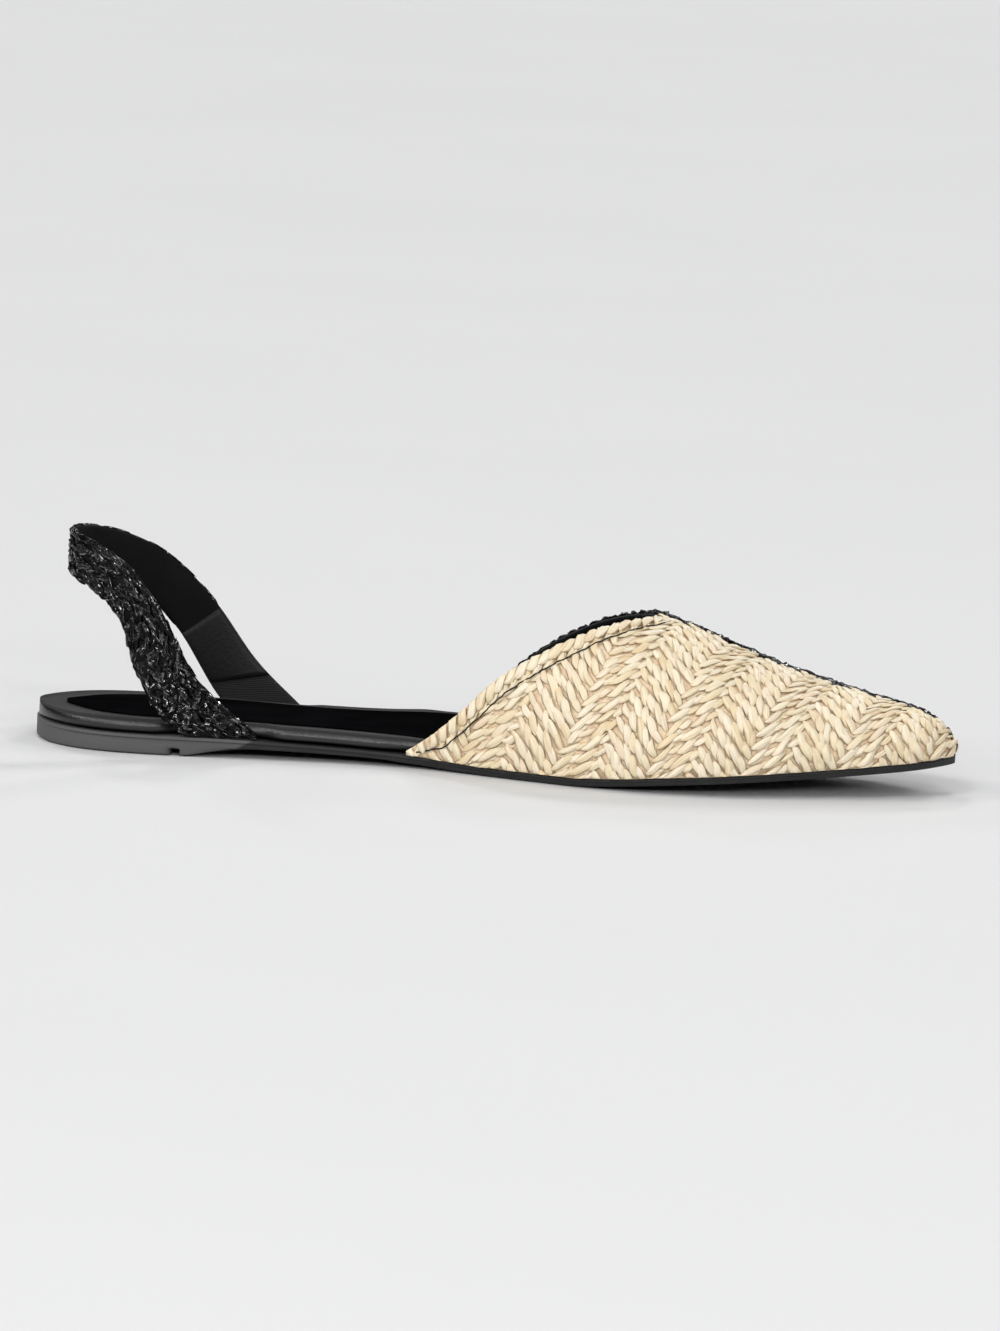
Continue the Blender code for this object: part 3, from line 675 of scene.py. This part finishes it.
def leaf_wires(wire):
    """A strand's own tone, its place on the leaf, and that place moved so that no two leaves look alike."""
    tone = wire.node("Attribute", {"attribute_name": "tone"}, None, 2)
    strip = wire.node("UVMap", {"uv_map": "strand"})
    shifted = wire.node("CombineXYZ", None, {0: tone * 37.0, 1: tone * 91.0, 2: 0.0})
    return tone, strip, wire.node("VectorMath", {"operation": "ADD"}, {0: strip, 1: shifted})


def leaf_noise(moved, stretch, scale, detail, distortion=0.0):
    """Noise drawn out over a leaf."""
    drawn = moved.node("Mapping", None, {"Vector": moved, "Scale": stretch})
    sockets = {"Vector": drawn, "Scale": scale, "Detail": detail, "Distortion": distortion}
    return moved.node("TexNoise", None, sockets)


natural_raffia, shader, wire = new_finish("natural_raffia", {"Specular IOR Level": 0.4})
tone, strip, moved = leaf_wires(wire)
fibre = leaf_noise(moved, (0.8, 5.5, 1.0), 1.6, 3.0)
folds = leaf_noise(moved, (0.6, 2.2, 1.0), 1.2, 1.0)
from_middle = abs(wire.node("SeparateXYZ", None, {0: strip}, 0) * 2.0 - 1.0)
from_spine = abs(wire.node("SeparateXYZ", None, {0: strip}, 1) * 2.0 - 1.0)
stops = ((0.0, (0.66, 0.51, 0.305)), (0.25, (0.715, 0.60, 0.395)), (0.55, (0.745, 0.645, 0.455)),
         (0.8, (0.775, 0.695, 0.54)), (1.0, (0.71, 0.565, 0.405)))
dyed = wire.node("ValToRGB", {"stops": stops}, {0: tone})
# Painted highlight: where the fold noise is high, on the raised side of a fold, the colour is painted
# paler.
painted_fold_light = (folds.above(0.5, 0.08) * 0.45).tint(dyed, (0.80, 0.73, 0.58))
streaked = (fibre.above(0.56, 0.14) * 0.4).tint(painted_fold_light, (0.63, 0.47, 0.27))
# Painted shade: toward the long edges (from_spine) and the tucked ends (from_middle) the colour is painted
# a darker warm tan.
painted_edge_shade = (from_spine ** 5.0 * 0.4).tint(streaked, (0.64, 0.455, 0.26))
feed((from_middle ** 4.0 * 0.4).tint(painted_edge_shade, (0.58, 0.41, 0.235)), shader, "Base Color")
feed(0.36 + 0.2 * fibre, shader, "Roughness")
emboss(fibre * 0.15 + folds.above(0.5, 0.12), shader, 0.5, 0.0003)

rng = np.random.default_rng(NATURAL_SEED)
natural_strands = weave(INNER, NATURAL_FOOT, rng)
lay_strands("raffia_natural", INNER, natural_strands, EDGE_BAND, rng, 0.0, natural_raffia)
natural_plait = edge_plait(INNER, rng)
lay_strands("raffia_natural_edge", INNER, natural_plait, 0.0, rng, 0.0, natural_raffia, PLAIT_SLOPE)


# Black raffia. The outer half of the vamp is woven the same way from dyed and waxed strands, which are
# crumpled and shine like film, so small highlights break up all over it. The wax is thickest on the
# crests of the folds and wrinkles, which show as thin curved lines. Along these lines the base colour is
# also painted a little lighter, as a painted highlight.

BLACK_FOOT = (176.0, 6.5)
BLACK_SEED = 23
BLACK_CRUMPLE = 0.8
BLACK_EDGE_CRUMPLE = 0.6

wax = {"Specular IOR Level": 0.14, "Coat Roughness": 0.15, "Coat IOR": 2.2}
black_raffia, shader, wire = new_finish("black_raffia", wax)
tone, strip, moved = leaf_wires(wire)
folds = leaf_noise(moved, (1.5, 2.0, 1.0), 1.3, 1.0, 0.8)
crumple = object_noise(wire, 430.0, 1.0)
crest = (1.0 - abs(folds - 0.53).above(0.022, 0.014)) * crumple.above(0.47, 0.06)
wrinkle = (1.0 - abs(crumple - 0.5).above(0.02, 0.013)) * folds.above(0.52, 0.05)
wax_and_painted_glint = wire.sum("MAXIMUM", crest, wrinkle)
# Painted highlight: the base colour is lightened along the crest and wrinkle lines, and the same mask gives
# the wax coat.
feed(wax_and_painted_glint.tint((0.0014, 0.0014, 0.0017), (0.01, 0.01, 0.0105)), shader, "Base Color")
feed(wax_and_painted_glint, shader, "Coat Weight")
feed(0.1 + 0.1 * tone + 0.08 * crumple, shader, "Roughness")
emboss(folds + crumple * 0.8, shader, 0.85, 0.001)

rng = np.random.default_rng(BLACK_SEED)
black_strands = weave(OUTER, BLACK_FOOT, rng)
lay_strands("raffia_black", OUTER, black_strands, EDGE_BAND, rng, BLACK_CRUMPLE, black_raffia)
black_plait = edge_plait(OUTER, rng)
lay_strands("raffia_black_edge", OUTER, black_plait, 0.0, rng, BLACK_EDGE_CRUMPLE, black_raffia,
            PLAIT_SLOPE)


# Edge thread. One waxed black thread on each side is sewn along the throat below the plait. It pulls down
# between the strands, so it waves a little.

THREAD_BELOW = 4.5
THREAD_RADIUS = 0.21
THREAD_LIFT = 0.7
THREAD_SIDES = 6
THREAD_STEPS = 220
THREAD_START = 2.0
THREAD_PAST_PEAK = 2.5
THREAD_FULL_DEPTH_FROM = 7.0


def unit_tube(sides, cuts):
    """A bmesh tube of radius 1 from z = 0 to z = 1 with closed ends, cut into rings."""
    bm = bmesh.new()
    bmesh.ops.create_circle(bm, segments=sides, radius=1.0)
    drawn = bmesh.ops.extrude_edge_only(bm, edges=bm.edges[:])["geom"]
    far = [part for part in drawn if isinstance(part, bmesh.types.BMVert)]
    bmesh.ops.translate(bm, verts=far, vec=(0.0, 0.0, 1.0))
    lengthwise = [edge for edge in bm.edges if abs(edge.verts[0].co.z - edge.verts[1].co.z) > 0.5]
    bmesh.ops.subdivide_edges(bm, edges=lengthwise, cuts=cuts, use_grid_fill=True)
    for end in (0.0, 1.0):
        bmesh.ops.contextual_create(bm, geom=[vert for vert in bm.verts if abs(vert.co.z - end) < 1e-6])
    return bm


def smooth_piece(bm, name):
    """A finished bmesh as a smooth piece of the scene, its faces outwards."""
    bmesh.ops.recalc_face_normals(bm, faces=bm.faces)
    for face in bm.faces:
        face.smooth = True
    mesh = bpy.data.meshes.new(name)
    bm.to_mesh(mesh)
    bm.free()
    return new_piece(name, mesh)


def thread_piece(name, paths, radius):
    """Round threads along paths of points in millimetres, closed at both ends, as one piece."""
    joined = bmesh.new()
    single = bpy.data.meshes.new("single_thread")
    for path in paths:
        run = np.gradient(path, axis=0)
        run /= np.linalg.norm(run, axis=1, keepdims=True)
        aside = np.cross(run, (0.31, 0.17, 0.93))
        aside /= np.linalg.norm(aside, axis=1, keepdims=True)
        above = np.cross(aside, run)
        tube = unit_tube(THREAD_SIDES, len(path) - 2)
        for vert in tube.verts:
            k = round(vert.co.z * (len(path) - 1))
            vert.co = place(path[k] + radius * (aside[k] * vert.co.x + above[k] * vert.co.y))
        tube.to_mesh(single)
        tube.free()
        joined.from_mesh(single)
    bpy.data.meshes.remove(single)
    return smooth_piece(joined, name)


waxed_thread, shader, wire = new_finish("waxed_thread", {"Specular IOR Level": 0.25})
ply = object_noise(wire, 1800.0, 2.0)
feed(ply.tint((0.002, 0.002, 0.0025), (0.007, 0.007, 0.0075)), shader, "Base Color")
feed(0.4 + 0.3 * ply, shader, "Roughness")

for side, name in ((INNER, "edge_thread_inner"), (OUTER, "edge_thread_outer")):
    alongs = np.linspace(WING_TIP[side] + THREAD_START, PEAK + THREAD_PAST_PEAK, THREAD_STEPS)
    paces = vamp.pace(alongs)
    girths = vamp.throat_at(alongs, side)
    slopes = np.arctan2(np.gradient(girths), np.gradient(paces))
    wave = 0.1 * np.sin(alongs * 1.35) + 0.06 * np.sin(alongs * 3.1 + 1.0)
    sunk = THREAD_BELOW * np.clip(girths / THREAD_FULL_DEPTH_FROM, 0.0, 1.0) + wave
    lower = np.maximum(girths - sunk * np.cos(slopes), 0.4)
    lift = THREAD_LIFT + 0.1 * np.sin(alongs * 1.9)
    route = vamp.points(paces + sunk * np.sin(slopes), lower, side, lift)
    thread = thread_piece(name, [route], THREAD_RADIUS)
    take_place(thread, waxed_thread, "upper")


# Sling strap. A narrow band of black raffia on a leather backing. It leaves the inner side of the sole,
# passes round the back of the heel and ends under a leather tab on the outer side.

# Along, across and up of the strap's middle line, and the strap's width.
STRAP = (
    (54.3, -24.7, 5.8, 12.8),
    (42.0, -26.8, 16.5, 14.0),
    (35.5, -27.0, 27.0, 13.8),
    (30.8, -26.0, 36.8, 13.0),
    (25.2, -23.4, 44.4, 12.6),
    (17.6, -18.6, 49.4, 12.6),
    (10.6, -10.8, 51.8, 12.6),
    (7.8, 0.0, 52.4, 12.6),
    (10.6, 10.8, 51.8, 12.6),
    (17.6, 18.8, 49.8, 12.6),
    (25.8, 23.8, 46.0, 12.6),
    (33.6, 26.8, 39.8, 12.8),
    (41.4, 28.2, 31.2, 13.2),
    (51.8, 28.6, 16.8, 14.6),
    (63.0, 27.2, 5.6, 16.4),
)
SQUARE_AFTER = 34.0
TAB_LENGTH = 20.0
TAB_THICKNESS = 2.4
ELASTIC_LENGTH = 13.0
ELASTIC_THICKNESS = 1.4
TUCKED_END = 3.0
BAND_SIDES = 16
# Share of the half width, start and slant in degrees of each line of strands along the strap.
STRAP_LINES = (
    (-0.88, 0.6, 3.0), (-0.58, 2.3, 22.0), (-0.29, 0.6, -16.0), (0.0, 2.3, 22.0),
    (0.29, 0.6, -16.0), (0.58, 2.3, 22.0), (0.88, 0.6, 3.0),
)
# How far a strand of the strap strays: along, share, slant, shares of length and width, lift.
STRAP_STRAY = np.array((0.4, 0.04, 9.0, 0.16, 0.16, 0.12))
STRAP_SEED = 37
STRAP_CRUMPLE = 0.7
STRAP_STRAND_PITCH = 3.3
STRAP_STRAND_LENGTH = 8.4
STRAP_STRAND_WIDTH = 1.9
STRAP_HALF_WIDTH = 6.4
STRAP_STRAND_BASE = 0.3
STRAP_STRAND_FLOOR = -0.85
LAST_STRAND_PAST = 1.5
STRAND_END_PAST = 2.5
EDGE_LAP = 1.05
EDGE_SHARE = 0.92
EDGE_DROP = 0.35
ROOM_UNDER_TAB = 0.75


class StrapLine:
    """The strap's middle line, and points beside it: by length, share of the half width and lift."""

    def __init__(self):
        table = np.array(STRAP)
        chords = np.linalg.norm(np.diff(table[:, :3], axis=0), axis=1)
        self.knots = np.concatenate(([0.0], np.cumsum(chords)))
        self.length = self.knots[-1]
        self.table = table
        slopes = np.zeros_like(table)
        slopes[1:-1] = (table[2:] - table[:-2]) / (self.knots[2:] - self.knots[:-2])[:, None]
        slopes[0] = (table[1] - table[0]) / chords[0]
        slopes[-1] = (table[-1] - table[-2]) / chords[-1]
        self.slopes = slopes

    def row(self, s):
        i = np.clip(np.searchsorted(self.knots, s, side="right") - 1, 0, len(self.knots) - 2)
        span = (self.knots[i + 1] - self.knots[i])[..., None]
        t = (s - self.knots[i])[..., None] / span
        return blend(t, span, (self.table[i], self.table[i + 1]), (self.slopes[i], self.slopes[i + 1]))

    def points(self, s, share, lift):
        s = np.clip(s, 0.0, self.length)
        middle = self.row(s)
        run = self.row(s + 0.3)[..., :3] - self.row(s - 0.3)[..., :3]
        run /= np.linalg.norm(run, axis=-1, keepdims=True)
        outward = np.stack((-run[..., 1], run[..., 0], np.zeros_like(s)), axis=-1)
        outward /= np.linalg.norm(outward, axis=-1, keepdims=True)
        wide = np.cross(run, outward)
        t = np.clip(np.minimum(s, self.length - s) / SQUARE_AFTER, 0.0, 1.0)
        level = 1 - t * t * (3 - 2 * t)
        climb = np.where(np.abs(run[..., 2]) > 0.05, run[..., 2], 1.0)
        steep = np.where(level > 0, wide[..., 2] / climb, 0.0)
        wide = wide - run * (steep * level)[..., None]
        half = middle[..., 3] / 2
        found = middle[..., :3] + wide * (half * share)[..., None] + outward * np.asarray(lift)[..., None]
        seat = sole_top(found[..., 0]) + SEAM_GAP
        found[..., 2] = np.maximum(found[..., 2], seat)
        return found


strap_line = StrapLine()
tab_start = strap_line.length - ELASTIC_LENGTH - TAB_LENGTH
tab_end = strap_line.length - ELASTIC_LENGTH - SEAM_GAP
band_end = tab_start - SEAM_GAP


def band_piece(name, start, end, rows, outer_lift, thickness, edge, rib_height=0.0, rib_pitch=1.0):
    """A closed band along the strap between two lengths, its section a flat oval with soft edges."""
    bm = unit_tube(BAND_SIDES, rows)
    spots = np.array([vert.co[:] for vert in bm.verts])
    s = start + (end - start) * spots[:, 2]
    share = np.sign(spots[:, 0]) * np.abs(spots[:, 0]) ** edge
    depth = np.sign(spots[:, 1]) * np.abs(spots[:, 1]) ** 0.45
    ribs = rib_height * 0.5 * (np.cos(2 * math.pi * s / rib_pitch) - 1)
    lift = outer_lift - thickness / 2 + depth * (thickness / 2 + ribs)
    for vert, spot in zip(bm.verts, place(strap_line.points(s, share, lift))):
        vert.co = spot
    return smooth_piece(bm, name)


strap_backing = band_piece("strap_backing", 0.0, band_end + TUCKED_END, rows=90, outer_lift=0.35,
                           thickness=1.45, edge=0.6)
take_place(strap_backing, lining_leather, "sling_strap")

rng = np.random.default_rng(STRAP_SEED)
strands = []
for share, start, slant in STRAP_LINES:
    for at in np.arange(start, band_end + LAST_STRAND_PAST, STRAP_STRAND_PITCH):
        stray = rng.normal(0.0, 1.0, 6) * STRAP_STRAY
        strands.append((at + stray[0], share + stray[1], slant + stray[2],
                        STRAP_STRAND_LENGTH * (1 + stray[3]),
                        STRAP_STRAND_WIDTH * (1 + stray[4]), stray[5]))
strands = np.array(strands)
forward, upward, lifts = strand_corners(strands, rng, STRAP_CRUMPLE)
at, share, lift = (strands[:, k][:, None, None] for k in (0, 1, 5))
s = np.clip(at + forward, 0.0, band_end + STRAND_END_PAST)
shares = np.clip(share + upward / STRAP_HALF_WIDTH, -EDGE_LAP, EDGE_LAP)
lifts = STRAP_STRAND_BASE + lift + lifts
lifts = np.where(np.abs(shares) > EDGE_SHARE, lifts - EDGE_DROP, lifts)
lifts = np.where(s > band_end - 0.5, np.minimum(lifts, ROOM_UNDER_TAB), lifts)
lifts = np.maximum(lifts, STRAP_STRAND_FLOOR)
corners = place(strap_line.points(s, shares, lifts))
strap_raffia = strand_mesh("strap_raffia", corners, rng.uniform(0.0, 1.0, len(strands)), black_raffia)
take_place(strap_raffia, None, "sling_strap")


# Strap tab. A folded piece of smooth black leather that holds the end of the raffia band and the elastic,
# sewn through with one row of thread inside each end and down one side.

tab = band_piece("tab_leather", tab_start, tab_end, rows=12, outer_lift=TAB_THICKNESS / 2,
                 thickness=TAB_THICKNESS, edge=0.35)
tab_leather = leather("tab_leather", (0.006, 0.006, 0.0065), roughness=0.48, wrinkle=0.9,
                      stretch=(0.9, 0.9, 0.9), shine=0.2)
take_place(tab, tab_leather, "strap_tab")

STITCH_LENGTH = 1.9
STITCH_RADIUS = 0.27
STITCH_PITCH = 2.4
STITCH_STEPS = 5
STITCH_EDGE = 0.72
END_STITCHES = 6
END_INSET = 1.6
SIDE_ROW_INSETS = (3.4, 2.6)
STITCH_RISE = 0.16
STITCH_DROP = 0.68
TAB_HALF_WIDTH = 7.2

stitches = []
steps = np.linspace(-0.5, 0.5, STITCH_STEPS)
arch = TAB_THICKNESS / 2 + (STITCH_RISE - STITCH_DROP * np.abs(steps) ** 1.5)
for s in (tab_start + END_INSET, tab_end - END_INSET):
    for share in np.linspace(-STITCH_EDGE, STITCH_EDGE, END_STITCHES):
        shares = share + steps * STITCH_LENGTH / TAB_HALF_WIDTH
        stitches.append(strap_line.points(np.full(STITCH_STEPS, s), shares, arch))
for s in np.arange(tab_start + SIDE_ROW_INSETS[0], tab_end - SIDE_ROW_INSETS[1], STITCH_PITCH):
    shares = np.full(STITCH_STEPS, STITCH_EDGE)
    stitches.append(strap_line.points(s + steps * STITCH_LENGTH, shares, arch))
tab_stitches = thread_piece("tab_stitches", stitches, STITCH_RADIUS)
take_place(tab_stitches, waxed_thread, "strap_tab")


# Elastic. A short length of ribbed black elastic between the tab and the sole, its ribs lying across it,
# which lets the strap give when the foot goes in.

RIB_HEIGHT = 0.16
RIB_PITCH = 0.68

elastic = band_piece("elastic_ribs", tab_end - TUCKED_END, strap_line.length, rows=112,
                     outer_lift=ELASTIC_THICKNESS / 2, thickness=ELASTIC_THICKNESS, edge=0.35,
                     rib_height=RIB_HEIGHT, rib_pitch=RIB_PITCH)
ribbed_elastic, shader, wire = new_finish("ribbed_elastic", {"Specular IOR Level": 0.2})
yarn = object_noise(wire, 2400.0, 2.0)
feed(yarn.tint((0.007, 0.007, 0.0075), (0.02, 0.02, 0.021)), shader, "Base Color")
feed(0.6 + 0.25 * yarn, shader, "Roughness")
emboss(yarn, shader, 0.4, 0.0002)
take_place(elastic, ribbed_elastic, "elastic_gore")


# Studio. A plain pale floor, a long low strip of light in front that draws the highlight along the rim,
# and small lamps all round that make the raffia glint. A long lens looks at the shoe's inner side from a
# little above the floor, turned a few degrees, and the whole shoe fills the width of the frame.

FLOOR_RADIUS = 14.0

bm = bmesh.new()
bmesh.ops.create_circle(bm, cap_ends=True, segments=96, radius=FLOOR_RADIUS)
mesh = bpy.data.meshes.new("studio_floor")
bm.to_mesh(mesh)
bm.free()
floor = new_piece("studio_floor", mesh)
floor_paint, shader, wire = new_finish("floor_paint", {"Specular IOR Level": 0.2})
mottle = object_noise(wire, 3.0, 2.0)
feed(mottle.tint((0.645, 0.645, 0.645), (0.675, 0.675, 0.675)), shader, "Base Color")
feed(0.75 + 0.1 * mottle, shader, "Roughness")
mesh.materials.append(floor_paint)

STRIP_PLACE = (0.0, -2.84, 0.92)
STRIP_SIZE = (3.4, 0.26)
STRIP_POWER = 33.0
# Name, then along, across and up in metres from the aim point, strength, and angle in degrees.
LAMPS = (
    ("key_lamp", -0.50, -1.00, 1.15, 0.82, 17.0),
    ("front_lamp", 0.45, -1.20, 0.95, 0.30, 10.0),
    ("left_lamp", -1.30, -0.45, 0.95, 0.60, 12.0),
    ("right_lamp", 1.20, 0.10, 1.05, 0.40, 12.0),
    ("back_lamp", -0.35, 1.10, 1.10, 0.45, 9.0),
    ("far_lamp", 0.70, 1.05, 1.20, 0.40, 9.0),
    ("high_lamp", 0.05, -0.15, 1.60, 0.30, 12.0),
    ("low_front_lamp", -0.20, -1.40, 0.58, 0.18, 7.0),
    ("low_left_lamp", -1.10, -0.95, 0.50, 0.35, 8.0),
    ("low_right_lamp", 1.00, -1.05, 0.50, 0.28, 8.0),
    ("low_back_lamp", 0.40, 1.35, 0.70, 0.30, 7.0),
    ("low_far_lamp", -0.70, 1.25, 0.62, 0.26, 7.0),
    ("low_toe_lamp", 1.10, 0.95, 0.55, 0.22, 7.0),
)
AIM = Vector((0.10, 0.0, 0.03))


def hang(light, along, across, up):
    """A light at a place in metres from the aim point, turned to it."""
    lamp = bpy.data.objects.new(light.name, light)
    lamp.location = AIM + Vector((along, across, up))
    lamp.rotation_euler = (AIM - lamp.location).to_track_quat("-Z", "Y").to_euler()
    lamp.visible_camera = False
    bpy.context.scene.collection.objects.link(lamp)


strip = bpy.data.lights.new("front_strip", "AREA")
strip.shape = "RECTANGLE"
strip.size, strip.size_y = STRIP_SIZE
strip.energy = STRIP_POWER
hang(strip, *STRIP_PLACE)
for name, along, across, up, strength, angle in LAMPS:
    light = bpy.data.lights.new(name, "SUN")
    light.energy = strength
    light.angle = math.radians(angle)
    hang(light, along, across, up)

world = bpy.data.worlds.new("studio_world")
world.use_nodes = True
wire = Wire(world.node_tree)
skyward = wire.node("SeparateXYZ", None, {0: wire.node("TexCoord", output=0)}, 2)
glow = skyward.above(0.55, 0.3).tint((0.10, 0.10, 0.105), (0.95, 0.96, 0.98))
background = world.node_tree.nodes["Background"]
world.node_tree.links.new(glow.socket, background.inputs["Color"])
background.inputs["Strength"].default_value = 0.3
bpy.context.scene.world = world
bpy.context.scene.view_settings.view_transform = "Standard"

AZIMUTH = math.radians(3.0)
ELEVATION = math.radians(8.0)
ROLL = math.radians(3.15)
LENS = 200.0
DISTANCE = 2.05
TARGET = Vector((0.1045, -0.003, 0.0275))

back = Vector((math.sin(AZIMUTH) * math.cos(ELEVATION), -math.cos(AZIMUTH) * math.cos(ELEVATION),
               math.sin(ELEVATION)))
right = Vector((math.cos(AZIMUTH), math.sin(AZIMUTH), 0.0))
above = back.cross(right)
turned_right = right * math.cos(ROLL) + above * math.sin(ROLL)
turned_above = above * math.cos(ROLL) - right * math.sin(ROLL)
camera_data = bpy.data.cameras.new("camera")
camera_data.lens = LENS
camera_data.sensor_width = 36.0
camera_data.clip_start = 0.05
camera_data.clip_end = 60.0
camera = bpy.data.objects.new("camera", camera_data)
stand = Matrix((turned_right, turned_above, back)).transposed().to_4x4()
stand.translation = TARGET + back * DISTANCE
camera.matrix_world = stand
bpy.context.scene.collection.objects.link(camera)
bpy.context.scene.camera = camera
